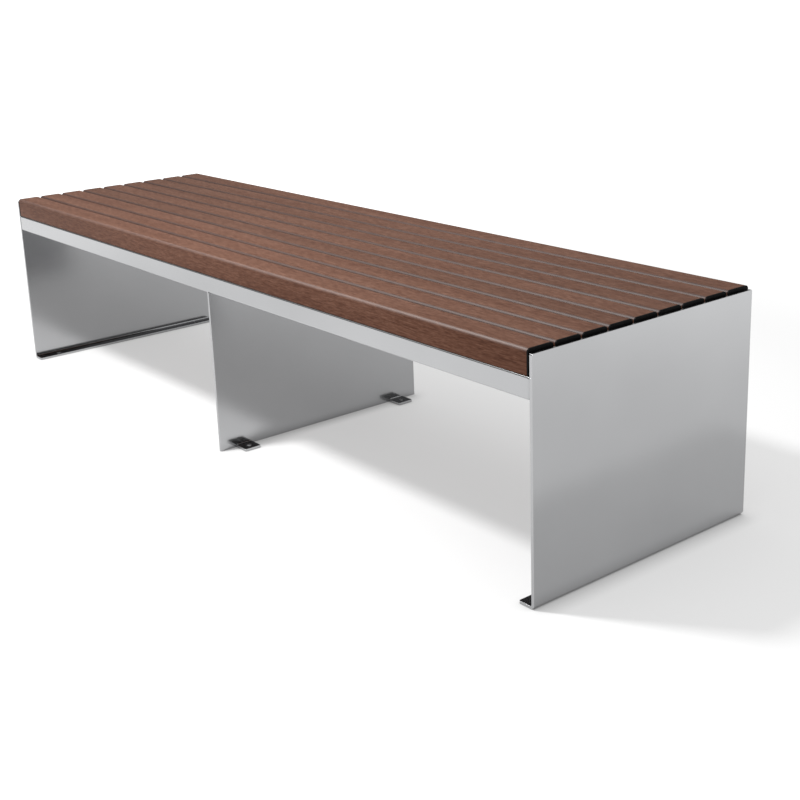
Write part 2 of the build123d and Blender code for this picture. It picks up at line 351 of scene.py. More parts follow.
# Satin stainless: a finely ground face with faint rolling lines, cloudy handling marks, slightly
# brighter rubbed edges, and painted shade on the up-facing tops of the foot flanges and tabs, which
# stands in for the dark underside of the seat reflected in them
STEEL_TONE = (0.413, 0.416, 0.423)
STEEL_LOW = tuple(c * 0.965 for c in STEEL_TONE)
STEEL_HIGH = tuple(c * 1.035 for c in STEEL_TONE)
RUBBED_STEEL = (0.62, 0.62, 0.63, 1)
REFLECTED_SHADE_PAINT = (0.045, 0.047, 0.053, 1)
SHADE_PAINT_HEIGHT = 0.02
FACING_UP = 0.85
satin_steel, tree, shader, spot = new_material("satin_stainless")
clouds = grain(tree, spot, (1, 1, 1), 3.2, 5.0)
wipes = grain(tree, spot, (0.6, 0.6, 1.6), 16.0, 6.0, 0.62)
rolling = grain(tree, spot, (1.2, 1.2, 260), 6.0, 3.0)
ground = grain(tree, spot, (1, 1, 1), 1500.0, 2.0)
edges = rubbed(tree, 0.0014, 0.8)
tone = ramp(tree, clouds, (0.3, STEEL_LOW), (0.7, STEEL_HIGH))
tone = blend(tree, "MULTIPLY", 0.5, tone, ramp(tree, rolling, (0.25, 0.985), (0.75, 1.0)))
tone = blend(tree, "MIX", sums(tree, "MULTIPLY", edges, 0.45), tone, RUBBED_STEEL)
# Painted shade: up-facing faces low down, the foot flanges and tabs, turn near black, a painted reflection
# of the dark seat underside
facing = node(tree, "SeparateXYZ", {0: node(tree, "NewGeometry").outputs["Normal"]})
height = node(tree, "SeparateXYZ", {0: spot})
shaded_tops = sums(tree, "GREATER_THAN", facing.outputs["Z"], FACING_UP)
shaded_tops = sums(tree, "MULTIPLY", shaded_tops, sums(tree, "LESS_THAN", height.outputs["Z"], SHADE_PAINT_HEIGHT))
shaded_tops = sums(tree, "MULTIPLY", shaded_tops, sums(tree, "MULTIPLY_ADD", wipes, 0.3, 0.75))
tone = blend(tree, "MIX", shaded_tops, tone, REFLECTED_SHADE_PAINT)
polish = sums(tree, "MULTIPLY_ADD", wipes, 0.05, 0.12)
polish = sums(tree, "MULTIPLY_ADD", clouds, 0.04, polish)
polish = sums(tree, "MULTIPLY_ADD", edges, 0.16, polish)
relief = sums(tree, "MULTIPLY_ADD", ground, 0.4, sums(tree, "MULTIPLY", rolling, 0.25))
dimple = node(tree, "Bump", {"Height": relief, "Strength": 0.05, "Distance": 0.00005})
tree.links.new(tone, shader.inputs["Base Color"])
tree.links.new(polish, shader.inputs["Roughness"])
tree.links.new(dimple.outputs[0], shader.inputs["Normal"])
shader.inputs["Metallic"].default_value = 1.0

for hand, piece in panels.items():
    piece.data.materials.append(satin_steel)
    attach(piece, "root")
    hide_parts(f"end_panel_{hand}")

# ---------------------------------------------------------------- aprons
# The front and rear aprons are shallow pans folded from 3 mm stainless, open towards the inside.
# Their corners are welded and dressed round, and each end return has a hole for a panel stud.
PAN_SHEET = 0.003
PAN_CORNER = 0.005
PAN_FOLD = 0.004
PAN_STUD_Y = 0.262
CLIP_SCREW = (0.016, 0.264)
FINE_EDGE = 0.0004
M8_CLEAR_R = 0.0045
M6_CLEAR_R = 0.0035
THROUGH = 0.02

low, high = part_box("apron_front")
pan = blank("apron_front_pan", low, high)
choose(pan, "FACE", lambda face: face.normal.y > 0.9)
bpy.ops.mesh.delete(type="ONLY_FACE")
choose(pan, "EDGE", lambda edge: along(edge, 1))
round_over(PAN_CORNER, 7)
choose(pan, "EDGE", lambda edge: on(edge.verts[0].co.y, low.y) and on(edge.verts[1].co.y, low.y))
round_over(PAN_FOLD, 6)
work(pan, "SOLIDIFY", thickness=PAN_SHEET, offset=-1, use_even_offset=True, use_quality_normals=True)
stud_z = (low.z + high.z) / 2
drill(pan, [(x, -PAN_STUD_Y, stud_z) for x in (low.x, high.x)], "X", M8_CLEAR_R, THROUGH)
pans = {"front": pan, "rear": copy_at(pan, "apron_rear_pan", turn=HALF_TURN)}
for place, side in (("front", -1), ("rear", 1)):
    pan = pans[place]
    drill(pan, [(CLIP_SCREW[0], side * CLIP_SCREW[1], low.z)], "Z", M6_CLEAR_R, THROUGH)
    ease_edges(pan, FINE_EDGE)
    pan.data.materials.append(satin_steel)
    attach(pan, "root")
    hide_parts(f"apron_{place}")

# ---------------------------------------------------------------- middle leg
# A flat 6 mm stainless sheet across the bench. It has a shoulder at the front and rear for the aprons
# to sit on, with the tongue between them bolted to the centre ledge.
LEDGE_BOLTS = (-0.18, 0.0, 0.18)
CLIP_BOLT_Y = 0.232
TONGUE = 0.246

low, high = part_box("middle_leg")
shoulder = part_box("apron_front")[0].z
leg = blank("middle_leg_sheet", low, (high.x, high.y, shoulder))
for y in (-TONGUE, TONGUE):
    choose(leg, "FACE", lambda face: True)
    bpy.ops.mesh.bisect(plane_co=(0, y, 0), plane_no=(0, 1, 0))
choose(leg, "FACE", lambda face: face.normal.z > 0.9 and abs(middle_of(face).y) < TONGUE)
pull_out(0, 0, high.z - shoulder)
merge_flats()
choose(
    leg, "EDGE",
    lambda edge: along(edge, 0) and on(middle_of(edge).z, shoulder) and on(abs(middle_of(edge).y), TONGUE),
)
round_over(CORNER_EASE, 5)
drill(leg, [(0, y, stud_z) for y in LEDGE_BOLTS], "X", M8_CLEAR_R, THROUGH)
drill(leg, [(0, y, stud_z) for y in (-CLIP_BOLT_Y, CLIP_BOLT_Y)], "X", M6_CLEAR_R, THROUGH)
ease_edges(leg, CUT_EDGE)
leg.data.materials.append(satin_steel)
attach(leg, "root")
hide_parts("middle_leg")

# ---------------------------------------------------------------- foot tabs
# Two square tabs of the same sheet at the foot of the middle leg, each with one anchor hole. A TIG
# bead along the back edge fixes a tab to the leg.
TAB_HOLE = 0.023
BEAD_R = 0.0021
BEAD_RIPPLES = 15
BEAD_STOP = 0.002

low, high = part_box("foot_tab_front")
tab_y = (low.y + high.y) / 2
tab = blank("tab_sheet", low, high)
choose(tab, "EDGE", lambda edge: along(edge, 2) and on(middle_of(edge).x, high.x))
round_over(CORNER_EASE, 5)
drill(tab, [(low.x + TAB_HOLE, tab_y, SHEET / 2)], "Z", ANCHOR_R, 5 * SHEET)
ease_edges(tab, CUT_EDGE)

bead_length = high.y - low.y - 2 * BEAD_STOP
bead = pin((low.x, tab_y, high.z), "Y", BEAD_R, bead_length, sides=14)
choose(bead, "EDGE", lambda edge: along(edge, 1))
bpy.ops.mesh.subdivide(number_cuts=4 * BEAD_RIPPLES - 1)
step = bead_length / (4 * BEAD_RIPPLES)


def ring_of(vert):
    """Number of the ring that a corner of the bead is on, counted from one end."""
    return round((vert.co.y - tab_y + bead_length / 2) / step)


for phase, size in ((0, 0.84), (1, 0.95), (3, 1.04)):
    choose(bead, "VERT", lambda vert: ring_of(vert) % 4 == phase)
    bpy.ops.transform.resize(value=(size, 1, size), center_override=(low.x, tab_y, high.z))
choose(bead, "VERT", lambda vert: ring_of(vert) in (0, 4 * BEAD_RIPPLES))
bpy.ops.transform.resize(value=(0.5, 1, 0.5), center_override=(low.x, tab_y, high.z))
take_up(bead)
bpy.ops.object.shade_smooth_by_angle(angle=math.radians(70))
tab = as_one("foot_tab_front_welded", [tab, bead])
tabs = {"front": tab, "rear": copy_at(tab, "foot_tab_rear_welded", move=(0, -2 * tab_y, 0))}
for place, piece in tabs.items():
    piece.data.materials.append(satin_steel)
    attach(piece, "root")
    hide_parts(f"foot_tab_{place}")

# ---------------------------------------------------------------- ledges
# Folded 4 mm angles that carry the slats: one bolted inside each end panel and one on the middle leg.
# Each has nine clearance holes for slat screws.
LEDGE_SHEET = 0.004
LEDGE_BEND = 0.005
SCREW_INSET = 0.024
SCREW_CLEAR_R = 0.00325
OUTER_SCREW_Y = 0.234

slats = [f"slat_{number}" for number in range(1, 10)]
slat_lines = [sum(corner.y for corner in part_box(name)) / 2 for name in slats]
screw_lines = [max(-OUTER_SCREW_Y, min(OUTER_SCREW_Y, y)) for y in slat_lines]

low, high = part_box("end_ledge_right")
angle = blank("ledge", (low.x, low.y, high.z - LEDGE_SHEET), high)
choose(angle, "FACE", lambda face: True)
bpy.ops.mesh.bisect(plane_co=(high.x - LEDGE_SHEET, 0, 0), plane_no=(1, 0, 0))
choose(angle, "FACE", lambda face: face.normal.z < -0.9 and middle_of(face).x > high.x - LEDGE_SHEET)
pull_out(0, 0, low.z - high.z + LEDGE_SHEET)
merge_flats()
choose(
    angle, "EDGE",
    lambda edge: along(edge, 1) and on(middle_of(edge).x, high.x) and on(middle_of(edge).z, high.z),
)
round_over(LEDGE_BEND, 7)
choose(
    angle, "EDGE",
    lambda edge: along(edge, 1) and on(middle_of(edge).x, high.x - LEDGE_SHEET)
    and on(middle_of(edge).z, high.z - LEDGE_SHEET),
)
round_over(LEDGE_BEND - LEDGE_SHEET, 3)
drill(angle, [(high.x - SCREW_INSET, y, high.z) for y in screw_lines], "Z", SCREW_CLEAR_R, THROUGH)
drill(angle, [(high.x, y, stud_z) for y in LEDGE_BOLTS], "X", M8_CLEAR_R, THROUGH)
centre_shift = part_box("centre_ledge")[1].x - high.x
centre = copy_at(angle, "centre_ledge_angle", move=(centre_shift, 0, 0))
clip_holes = [(centre_shift + high.x, y, stud_z) for y in (-CLIP_BOLT_Y, CLIP_BOLT_Y)]
drill(centre, clip_holes, "X", M6_CLEAR_R, THROUGH)
angle.name = "end_ledge_right_angle"
ledges = {
    "end_ledge_right": angle,
    "end_ledge_left": copy_at(angle, "end_ledge_left_angle", turn=HALF_TURN),
    "centre_ledge": centre,
}
for name, piece in ledges.items():
    ease_edges(piece, FINE_EDGE)
    piece.data.materials.append(satin_steel)
    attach(piece, "root")
    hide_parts(name)

# ---------------------------------------------------------------- tie strips
# Flat stainless bars across the undersides of the slats, half way between two ledges, so that the
# slats move together. Their corners are eased and they have one screw hole for each slat.
low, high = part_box("tie_strip_right")
tie_x = (low.x + high.x) / 2
bar = blank("tie_strip_right_bar", low, high)
choose(bar, "EDGE", lambda edge: along(edge, 2))
round_over(CORNER_EASE, 5)
drill(bar, [(tie_x, y, high.z) for y in screw_lines], "Z", SCREW_CLEAR_R, THROUGH)
ease_edges(bar, FINE_EDGE)
ties = {"right": bar, "left": copy_at(bar, "tie_strip_left_bar", turn=HALF_TURN)}
for hand, piece in ties.items():
    piece.data.materials.append(satin_steel)
    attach(piece, "root")
    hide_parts(f"tie_strip_{hand}")

# ---------------------------------------------------------------- apron clips
# Small 3 mm angles between the middle leg and the bottom flange of each apron, with one bolt through
# the leg and one screw up through the apron.
CLIP_SHEET = 0.003

low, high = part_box("apron_clip_front")
clip = blank("apron_clip_front_angle", low, (high.x, high.y, low.z + CLIP_SHEET))
choose(clip, "FACE", lambda face: True)
bpy.ops.mesh.bisect(plane_co=(low.x + CLIP_SHEET, 0, 0), plane_no=(1, 0, 0))
choose(clip, "FACE", lambda face: face.normal.z > 0.9 and middle_of(face).x < low.x + CLIP_SHEET)
pull_out(0, 0, high.z - low.z - CLIP_SHEET)
merge_flats()
choose(
    clip, "EDGE",
    lambda edge: along(edge, 1) and on(middle_of(edge).x, low.x) and on(middle_of(edge).z, low.z),
)
round_over(PAN_FOLD, 6)
clips = {"front": clip, "rear": copy_at(clip, "apron_clip_rear_angle", move=(0, -low.y - high.y, 0))}
for place, side in (("front", -1), ("rear", 1)):
    clip = clips[place]
    drill(clip, [(CLIP_SCREW[0], side * CLIP_SCREW[1], low.z)], "Z", M6_CLEAR_R, THROUGH)
    drill(clip, [(low.x, side * CLIP_BOLT_Y, stud_z)], "X", M6_CLEAR_R, THROUGH)
    ease_edges(clip, FINE_EDGE)
    clip.data.materials.append(satin_steel)
    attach(clip, "root")
    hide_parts(f"apron_clip_{place}")

# ---------------------------------------------------------------- studs and nuts of the end panels
# M8 studs are welded to the inner face of each end panel, and flange nuts hold the ledge and both
# aprons on them. All are turned or cold-formed stainless, brighter than the sheets.
M8 = 0.004
M6 = 0.003
ACROSS_FLATS = 3.25
THREAD_ROOT = 0.84
THREAD_END = 0.78
BRIGHT_LOW = (0.48, 0.475, 0.46)
BRIGHT_HIGH = (0.60, 0.60, 0.595)
SCUFFED = (0.74, 0.74, 0.74, 1)


def threaded(name, radius, length, turns):
    """A threaded rod along X from the origin, with rounded crests and a chamfered far end."""
    rod = pin((length / 2, 0, 0), "X", radius, length, sides=20)
    choose(rod, "EDGE", lambda edge: along(edge, 0))
    bpy.ops.mesh.subdivide(number_cuts=2 * turns - 1)
    pitch = length / turns
    choose(rod, "VERT", lambda vert: round(2 * vert.co.x / pitch) % 2 == 1)
    bpy.ops.transform.resize(value=(1, THREAD_ROOT, THREAD_ROOT), center_override=(0, 0, 0))
    choose(rod, "VERT", lambda vert: on(vert.co.x, length))
    bpy.ops.transform.resize(value=(1, THREAD_END, THREAD_END), center_override=(0, 0, 0))
    take_up(rod)
    bpy.ops.object.shade_smooth_by_angle(angle=math.radians(40))
    rod.name = name
    return rod


def hexagon(name, base, radius, height):
    """A chamfered hexagon along X, from a base plane outwards. Radius is the shank's."""
    flats = radius * ACROSS_FLATS
    put_down()
    bpy.ops.mesh.primitive_cylinder_add(
        vertices=6, radius=flats / math.sqrt(3), depth=height,
        location=(base + height / 2, 0, 0), rotation=(0, math.pi / 2, 0),
    )
    bpy.ops.object.transform_apply(location=True, rotation=True, scale=True)
    head = bpy.context.object
    crown = flats / 2 * 0.96
    bpy.ops.mesh.primitive_cone_add(
        vertices=48, radius1=crown + flats * 1.73, radius2=crown, depth=flats,
        location=(base + height - flats / 2, 0, 0), rotation=(0, math.pi / 2, 0),
    )
    bpy.ops.object.transform_apply(location=True, rotation=True, scale=True)
    cone = bpy.context.object
    work(head, "BOOLEAN", operation="INTERSECT", solver="EXACT", object=cone)
    bpy.data.objects.remove(cone)
    ease_edges(head, radius * 0.03, 1)
    head.name = name
    return head


def flange_nut(name, radius):
    """A flange nut along X, seated at the origin."""
    flange = radius * 0.4
    put_down()
    bpy.ops.mesh.primitive_cone_add(
        vertices=40, radius1=radius * 2.2, radius2=radius * 1.7, depth=flange,
        location=(flange / 2, 0, 0), rotation=(0, math.pi / 2, 0),
    )
    bpy.ops.object.transform_apply(location=True, rotation=True, scale=True)
    collar = bpy.context.object
    ease_edges(collar, radius * 0.06)
    nut = hexagon(name, flange * 0.8, radius, radius * 2 - flange * 0.8)
    for part in (nut, collar):
        drill(part, [(0, 0, 0)], "X", radius * 1.04, 0.05)
    return as_one(name, [nut, collar])


# Fasteners: bright cold-formed stainless with faint turning marks and scuffed corners
fastener_steel, tree, shader, spot = new_material("fastener_stainless")
scuffs = grain(tree, spot, (1, 1, 1), 220.0, 5.0, 0.6)
turning = grain(tree, spot, (900, 60, 60), 3.0, 2.0)
edges = rubbed(tree, 0.0005, 1.0)
tone = ramp(tree, scuffs, (0.3, BRIGHT_LOW), (0.7, BRIGHT_HIGH))
tone = blend(tree, "MIX", sums(tree, "MULTIPLY", edges, 0.5), tone, SCUFFED)
polish = sums(tree, "MULTIPLY_ADD", scuffs, 0.22, 0.16)
dimple = node(tree, "Bump", {"Height": turning, "Strength": 0.15, "Distance": 0.0002})
tree.links.new(tone, shader.inputs["Base Color"])
tree.links.new(polish, shader.inputs["Roughness"])
tree.links.new(dimple.outputs[0], shader.inputs["Normal"])
shader.inputs["Metallic"].default_value = 1.0

m8_nut = flange_nut("m8_nut", M8)
low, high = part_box("panel_studs_right")
stud = threaded("stud", M8, high.x - low.x, 17)
stud_lines = (-PAN_STUD_Y, *LEDGE_BOLTS, PAN_STUD_Y)
studs = [copy_at(stud, "stud_copy", (high.x, y, stud_z), HALF_TURN) for y in stud_lines]
right_studs = as_one("panel_studs_right_threaded", studs)
nuts = []
for y in stud_lines:
    seat = high.x - (PAN_SHEET if abs(y) == PAN_STUD_Y else LEDGE_SHEET)
    nuts.append(copy_at(m8_nut, "nut_copy", (seat, y, stud_z), HALF_TURN))
right_nuts = as_one("stud_nuts_right_flanged", nuts)
welded = {
    "panel_studs_right": right_studs,
    "panel_studs_left": copy_at(right_studs, "panel_studs_left_threaded", turn=HALF_TURN),
    "stud_nuts_right": right_nuts,
    "stud_nuts_left": copy_at(right_nuts, "stud_nuts_left_flanged", turn=HALF_TURN),
}
for name, piece in welded.items():
    piece.data.materials.append(fastener_steel)
    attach(piece, "root")
    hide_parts(name)
bpy.data.objects.remove(stud)

# ---------------------------------------------------------------- bolts of the middle leg
# Three M8 bolts hold the middle leg to the centre ledge, and two M6 bolts pass through ledge, leg and
# clips. Two M6 button-head screws come up through the aprons into the clips.
BOLT_LENGTH = 0.020
BUTTON_R = 0.0052
BUTTON_H = 0.0033
BUTTON_ROUND = 0.0023
BUTTON_SHANK = 0.016
HEX_KEY_R = 0.0023


def hex_bolt(name, radius, length, turns):
    """A hexagon bolt: the head stands up along +X from the origin, the shank goes down along -X."""
    head = hexagon(name, 0.0, radius, radius * 1.3)
    shank = threaded("shank", radius, length, turns)
    shank = copy_at(shank, "shank", turn=HALF_TURN)
    bolt = as_one(name, [head, shank])
    bpy.data.objects.remove(bpy.data.objects["shank"])
    return bolt


leg_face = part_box("middle_leg")[1].x
ledge_face = -leg_face - LEDGE_SHEET
m8_bolt = hex_bolt("m8_bolt", M8, BOLT_LENGTH, 16)
m6_bolt = hex_bolt("m6_bolt", M6, BOLT_LENGTH, 20)
m6_nut = flange_nut("m6_nut", M6)

leg_bolts = [copy_at(m8_bolt, "bolt_copy", (leg_face, y, stud_z)) for y in LEDGE_BOLTS]
leg_bolts = as_one("leg_bolts_hexagon", leg_bolts)
leg_nuts = [copy_at(m8_nut, "nut_copy", (ledge_face, y, stud_z), HALF_TURN) for y in LEDGE_BOLTS]
leg_nuts = as_one("leg_nuts_flanged", leg_nuts)
clip_lines = (-CLIP_BOLT_Y, CLIP_BOLT_Y)
clip_bolts = [copy_at(m6_bolt, "bolt_copy", (ledge_face, y, stud_z), HALF_TURN) for y in clip_lines]
clip_bolts = as_one("clip_bolts_hexagon", clip_bolts)

clip_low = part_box("apron_clip_front")[0]
clip_nuts = [copy_at(m6_nut, "nut_copy", (leg_face + CLIP_SHEET, y, stud_z)) for y in clip_lines]
for side in (-1, 1):
    seat = (CLIP_SCREW[0], side * CLIP_SCREW[1], clip_low.z + CLIP_SHEET)
    clip_nuts.append(copy_at(m6_nut, "nut_copy", seat, (0, -math.pi / 2, 0)))
clip_nuts = as_one("clip_nuts_flanged", clip_nuts)

low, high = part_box("clip_screws")
button = pin((0, 0, BUTTON_H / 2), "Z", BUTTON_R, BUTTON_H, sides=32)
choose(button, "EDGE", lambda edge: on(edge.verts[0].co.z, 0) and on(edge.verts[1].co.z, 0))
round_over(BUTTON_ROUND, 5)
recess = pin((0, 0, 0), "Z", HEX_KEY_R, 0.004, sides=6)
work(button, "BOOLEAN", operation="DIFFERENCE", solver="EXACT", object=recess)
bpy.data.objects.remove(recess)
ease_edges(button, 0.00015, 1)
shank = threaded("button_shank", M6, BUTTON_SHANK, 16)
shank = copy_at(shank, "button_shank_up", (0, 0, BUTTON_H), (0, -math.pi / 2, 0))
bpy.data.objects.remove(bpy.data.objects["button_shank"])
button = as_one("button_screw", [button, shank])
buttons = [
    copy_at(button, "button_copy", (CLIP_SCREW[0], side * CLIP_SCREW[1], low.z)) for side in (-1, 1)
]
clip_screws = as_one("clip_screws_button", buttons)
for master in (m8_bolt, m6_bolt, m8_nut, m6_nut, button):
    bpy.data.objects.remove(master)

bolted = {
    "leg_bolts": leg_bolts,
    "leg_nuts": leg_nuts,
    "clip_bolts": clip_bolts,
    "clip_nuts": clip_nuts,
    "clip_screws": clip_screws,
}
for name, piece in bolted.items():
    piece.data.materials.append(fastener_steel)
    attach(piece, "root")
    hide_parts(name)

# ---------------------------------------------------------------- slats
# Nine solid hardwood slats, red-brown, planed and lightly brushed along the grain, with the top edges
# rounded over and a matt oil finish. They are screwed up from below through ledges and tie strips.
TOP_ROUND = 0.0065
BASE_ROUND = 0.002
SLAT_PITCH = slat_lines[1] - slat_lines[0]
DARK_WOOD = (0.053, 0.019, 0.0105)
MID_WOOD = (0.094, 0.041, 0.025)
PALE_WOOD = (0.146, 0.072, 0.048)
PORE_SHADE = (0.62, 0.55, 0.52)
DULL_BOARD = (0.93, 0.93, 0.93)
BRIGHT_BOARD = (1.07, 1.05, 1.04)
TOP_LIGHT_PAINT = (1.17, 1.28, 1.36, 1)
GAP_SHADE_PAINT = (0.46, 0.37, 0.32, 1)

low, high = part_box("slat_1")
board = blank("slat_1_board", low, high)
choose(board, "EDGE", lambda edge: along(edge, 0) and on(middle_of(edge).z, high.z))
round_over(TOP_ROUND, 10)
choose(board, "EDGE", lambda edge: along(edge, 0) and on(middle_of(edge).z, low.z))
round_over(BASE_ROUND, 4)
ease_edges(board, FINE_EDGE)

timber, tree, shader, spot = new_material("oiled_hardwood")
# Each board is cut from another length of wood, so its number shifts and tints its grain
split = node(tree, "SeparateXYZ", {0: spot})
count = sums(tree, "SUBTRACT", split.outputs["Y"], slat_lines[0] - SLAT_PITCH / 2)
count = sums(tree, "FLOOR", sums(tree, "DIVIDE", count, SLAT_PITCH))
chance = node(tree, "TexWhiteNoise", {"W": sums(tree, "ADD", count, 0.37)}, noise_dimensions="1D")
shift = node(
    tree, "CombineXYZ",
    {"X": sums(tree, "MULTIPLY", count, 3.71), "Y": sums(tree, "MULTIPLY", count, 0.83)},
)
place = node(tree, "VectorMath", {0: spot, 1: shift.outputs[0]}, operation="ADD").outputs[0]
bands = grain(tree, place, (1.0, 14, 14), 2.2, 3.0)
mottle = grain(tree, place, (16, 115, 115), 3.0, 5.0, 0.65)
fibre = grain(tree, place, (16, 260, 260), 3.0, 4.0, 0.65)
pores = grain(tree, place, (50, 900, 900), 2.0, 2.0)
figure = sums(tree, "MULTIPLY", bands, 0.16)
figure = sums(tree, "MULTIPLY_ADD", mottle, 0.35, figure)
figure = sums(tree, "MULTIPLY_ADD", fibre, 0.49, figure)
colour = ramp(tree, figure, (0.38, DARK_WOOD), (0.5, MID_WOOD), (0.62, PALE_WOOD))
tint = ramp(tree, chance.outputs["Value"], (0.0, DULL_BOARD), (1.0, BRIGHT_BOARD))
colour = blend(tree, "MULTIPLY", 1.0, colour, tint)
colour = blend(tree, "MULTIPLY", 1.0, colour, ramp(tree, pores, (0.32, PORE_SHADE), (0.42, 1.0)))
# Painted light: the up-facing tops are painted paler than the sides
facing = node(tree, "SeparateXYZ", {0: node(tree, "NewGeometry").outputs["Normal"]})
across = node(tree, "Math", {0: facing.outputs["Y"]}, operation="ABSOLUTE").outputs[0]
upward = node(tree, "Math", {0: facing.outputs["Z"], 1: 0.0}, operation="MAXIMUM").outputs[0]
lit_tops = node(tree, "MapRange", {"Value": upward, "From Min": FACING_UP, "From Max": 1.0}).outputs[0]
colour = blend(tree, "MULTIPLY", lit_tops, colour, TOP_LIGHT_PAINT)
# Painted shade: the rounded top edges are darkened, standing in for the shade in the gaps between the
# slats; they also get a glossier coat than the faces beside them
edge_shade_and_gloss = sums(tree, "MULTIPLY", across, upward)
edge_shade_and_gloss = node(tree, "Math", {0: edge_shade_and_gloss, 1: 2.4}, operation="MULTIPLY", use_clamp=True).outputs[0]
# The outermost edges of the seat take only a quarter of the painted gap shade, and a glossier coat
outside = node(tree, "Math", {0: split.outputs["Y"]}, operation="ABSOLUTE").outputs[0]
outside = sums(tree, "GREATER_THAN", outside, slat_lines[-1] + SLAT_PITCH / 3)
gap_shade = sums(tree, "MULTIPLY", edge_shade_and_gloss, sums(tree, "MULTIPLY_ADD", outside, -0.75, 1.0))
colour = blend(tree, "MULTIPLY", gap_shade, colour, GAP_SHADE_PAINT)
gloss = sums(tree, "MULTIPLY", edge_shade_and_gloss, sums(tree, "MULTIPLY_ADD", outside, 0.09, 0.34))
sheen = sums(tree, "MULTIPLY_ADD", mottle, 0.12, 0.27)
sheen = sums(tree, "MULTIPLY_ADD", fibre, 0.08, sheen)
relief = sums(tree, "MULTIPLY_ADD", fibre, 0.6, sums(tree, "MULTIPLY", mottle, 0.5))
relief = sums(tree, "MULTIPLY_ADD", pores, 0.3, relief)
brushed = node(tree, "Bump", {"Height": relief, "Strength": 0.35, "Distance": 0.0006})
tree.links.new(colour, shader.inputs["Base Color"])
tree.links.new(sheen, shader.inputs["Roughness"])
tree.links.new(brushed.outputs[0], shader.inputs["Normal"])
tree.links.new(gloss, shader.inputs["Coat Weight"])
shader.inputs["Coat Roughness"].default_value = 0.6
shader.inputs["Coat IOR"].default_value = 2.2
shader.inputs["Specular IOR Level"].default_value = 0.04

boards = [board]
for number in range(2, 10):
    move = (0, slat_lines[number - 1] - slat_lines[0], 0)
    boards.append(copy_at(board, f"slat_{number}_board", move=move))
for number, piece in enumerate(boards, 1):
    piece.data.materials.append(timber)
    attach(piece, "root")
    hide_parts(f"slat_{number}")

# ---------------------------------------------------------------- end caps
# Black moulded caps over the sawn end of each slat, held by two pushed-in spigots. They follow the
# slat's section and have a small rounded rim.
CAP_SHEET = 0.003
CAP_RIM = 0.00075
SPIGOT_R = 0.004
SPIGOT_EASE = 0.001
SPIGOT_SPREAD = 0.014
CAP_LOW = (0.004, 0.004, 0.0042)
CAP_HIGH = (0.008, 0.008, 0.0084)
RUBBED_CAP = (0.03, 0.03, 0.031, 1)

low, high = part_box("end_cap_right_1")
back = high.x - CAP_SHEET
cap = blank("end_cap_right_1_moulded", (back, low.y, low.z), high)
choose(cap, "EDGE", lambda edge: along(edge, 0) and on(middle_of(edge).z, high.z))
round_over(TOP_ROUND, 10)
choose(cap, "EDGE", lambda edge: along(edge, 0) and on(middle_of(edge).z, low.z))
round_over(BASE_ROUND, 4)
choose(cap, "EDGE", lambda edge: on(edge.verts[0].co.x, high.x) and on(edge.verts[1].co.x, high.x))
round_over(CAP_RIM, 3)
ease_edges(cap, 0.00015, 1)
middle = ((low.y + high.y) / 2, (low.z + high.z) / 2)
for y in (middle[0] - SPIGOT_SPREAD, middle[0] + SPIGOT_SPREAD):
    spigot = pin(((low.x + back) / 2, y, middle[1]), "X", SPIGOT_R, back - low.x, sides=24)
    choose(spigot, "EDGE", lambda edge: on(edge.verts[0].co.x, low.x) and on(edge.verts[1].co.x, low.x))
    round_over(SPIGOT_EASE, 2)
    take_up(spigot)
    bpy.ops.object.shade_smooth_by_angle(angle=math.radians(40))
    cap = as_one("end_cap_right_1_moulded", [cap, spigot])

cap_black, tree, shader, spot = new_material("moulded_black")
spark = grain(tree, spot, (1, 1, 1), 1400.0, 2.0)
flow = grain(tree, spot, (1, 1, 1), 60.0, 4.0)
edges = rubbed(tree, 0.0006, 0.9)
tone = ramp(tree, flow, (0.3, CAP_LOW), (0.7, CAP_HIGH))
tone = blend(tree, "MIX", sums(tree, "MULTIPLY", edges, 0.2), tone, RUBBED_CAP)
matt = sums(tree, "MULTIPLY_ADD", flow, 0.14, 0.42)
textured = node(tree, "Bump", {"Height": spark, "Strength": 0.25, "Distance": 0.0002})
tree.links.new(tone, shader.inputs["Base Color"])
tree.links.new(matt, shader.inputs["Roughness"])
tree.links.new(textured.outputs[0], shader.inputs["Normal"])
shader.inputs["Specular IOR Level"].default_value = 0.04

right_caps = [cap]
for number in range(2, 10):
    move = (0, slat_lines[number - 1] - slat_lines[0], 0)
    right_caps.append(copy_at(cap, f"end_cap_right_{number}_moulded", move=move))
caps = {f"end_cap_right_{number}": piece for number, piece in enumerate(right_caps, 1)}
for number, piece in enumerate(reversed(right_caps), 1):
    caps[f"end_cap_left_{number}"] = copy_at(piece, f"end_cap_left_{number}_moulded", turn=HALF_TURN)
for name, piece in caps.items():
    piece.data.materials.append(cap_black)
    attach(piece, "root")
    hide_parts(name)

# ---------------------------------------------------------------- slat screws
# Pan-head wood screws with a six-point recess, driven up through the metal into each slat: five rows
# of nine.
HEAD_R = 0.0055
HEAD_H = 0.0026
HEAD_ROUND = 0.0012
RECESS_R = 0.0021
RECESS_WAIST = 0.72
SHANK_R = 0.0025
SHANK_LENGTH = 0.034

head = pin((0, 0, -HEAD_H / 2), "Z", HEAD_R, HEAD_H, sides=24)
choose(head, "EDGE", lambda edge: on(edge.verts[0].co.z, -HEAD_H) and on(edge.verts[1].co.z, -HEAD_H))
round_over(HEAD_ROUND, 3)
star = pin((0, 0, -HEAD_H), "Z", RECESS_R, 0.003, sides=12)


def points_round(place):
    """Which of the twelve points round the recess this is."""
    return round(math.degrees(math.atan2(place.x, place.y)) / 30)


